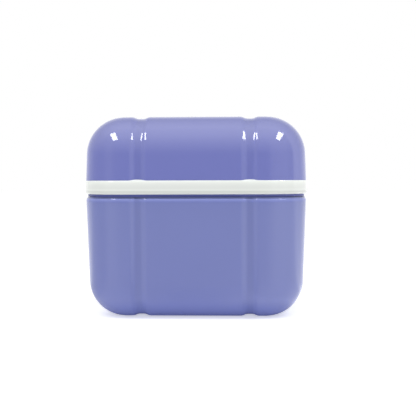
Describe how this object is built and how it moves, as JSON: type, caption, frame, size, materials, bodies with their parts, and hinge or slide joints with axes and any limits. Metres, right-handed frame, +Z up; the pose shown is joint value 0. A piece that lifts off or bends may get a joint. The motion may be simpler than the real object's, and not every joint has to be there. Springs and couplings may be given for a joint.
{
  "type": "denture case",
  "caption": "Rounded box with a hinged sealing lid, a push-button latch, a lift-out strainer basket with a folding handle, a lid mirror and a small brush.",
  "frame": {"origin": "centre of the flat underside, on the surface that the case stands on", "axes": "+X along the width, +Y towards the push button, +Z up"},
  "size_m": [0.0904, 0.0804, 0.0811],
  "materials": {
    "shell": "glossy moulded ABS",
    "inner": "satin moulded polypropylene",
    "band": "white moulded ABS",
    "seal": "translucent silicone",
    "mirror": "silvered acrylic",
    "tape": "foam tape",
    "steel": "stainless steel",
    "button": "white moulded acetal",
    "basket": "white moulded polypropylene",
    "brush": "white moulded polypropylene",
    "bristles": "nylon filament"
  },
  "bodies": {
    "base": {"lower_shell": "shell", "inner_tub": "inner", "button_spring": "steel"},
    "lid": {"lid_shell": "shell", "trim_ring": "band", "lid_liner": "inner", "seal_ring": "seal", "mirror": "mirror", "mirror_tape": "tape", "hinge_pin_left": "steel", "hinge_pin_right": "steel"},
    "button": {"push_button": "button"},
    "basket": {"strainer_basket": "basket"},
    "handle": {"basket_handle": "basket"},
    "brush": {"brush_handle": "brush", "brush_bristles": "bristles"}
  },
  "joints": [
    {"name": "lid_hinge", "type": "hinge", "parent": "base", "child": "lid", "pos_m": [0, -0.037, 0.053], "axis": [1, 0, 0], "range_deg": [0, 100]},
    {"name": "button_press", "type": "slide", "parent": "base", "child": "button", "axis": [0, -1, 0], "range_m": [0, 0.0015], "stiffness_N_per_m": 300, "springref_m": -0.003, "deforming": ["button_spring"]},
    {"name": "basket_lift", "type": "slide", "parent": "base", "child": "basket", "axis": [0, 0, 1], "range_m": [0, 0.004]},
    {"name": "handle_swing", "type": "hinge", "parent": "basket", "child": "handle", "pos_m": [0, 0, 0.0426], "axis": [-1, 0, 0], "range_deg": [0, 90]},
    {"name": "brush_lift", "type": "slide", "parent": "basket", "child": "brush", "axis": [0, 0, 1], "range_m": [0, 0.012]}
  ]
}
